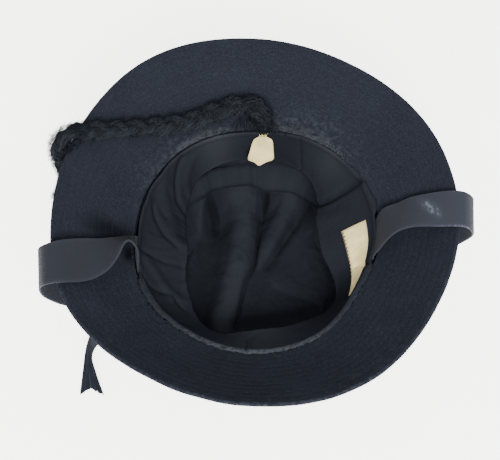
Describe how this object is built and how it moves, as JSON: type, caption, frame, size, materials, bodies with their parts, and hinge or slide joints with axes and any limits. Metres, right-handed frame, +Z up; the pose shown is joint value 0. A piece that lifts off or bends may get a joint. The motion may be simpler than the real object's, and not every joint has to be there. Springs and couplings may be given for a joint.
{
  "type": "sailor cap",
  "caption": "Brimmed navy wool sailor's cap lying on its soft crown, opening up, with a stitched brim, elastic chin strap turned out over it, ribbon bow and yarn plait.",
  "frame": {"origin": "centre of the flat patch on which the crown rests", "axes": "+Z up through the opening of the upturned cap, +Y to the back of the head, +X to the wearer's right"},
  "size_m": [0.3037, 0.2914, 0.1534],
  "materials": {
    "wool": "napped wool cloth",
    "brim_wool": "napped wool cloth with rows of stitching",
    "sateen": "black sateen lining",
    "ribbon": "plain black petersham ribbon",
    "webbing": "grey-navy elastic webbing",
    "yarn": "dark woollen yarn",
    "tape": "cream cotton tape"
  },
  "bodies": {
    "root": {"crown": "wool", "brim": "brim_wool", "lining": "sateen", "sweatband": "sateen", "ribbon_band": "ribbon", "bow_loop_front": "ribbon", "bow_loop_back": "ribbon", "bow_knot": "ribbon", "ribbon_tail_front": "ribbon", "ribbon_tail_back": "ribbon", "chin_strap": "webbing", "plait": "yarn", "name_label": "tape", "back_label": "tape"}
  },
  "joints": []
}
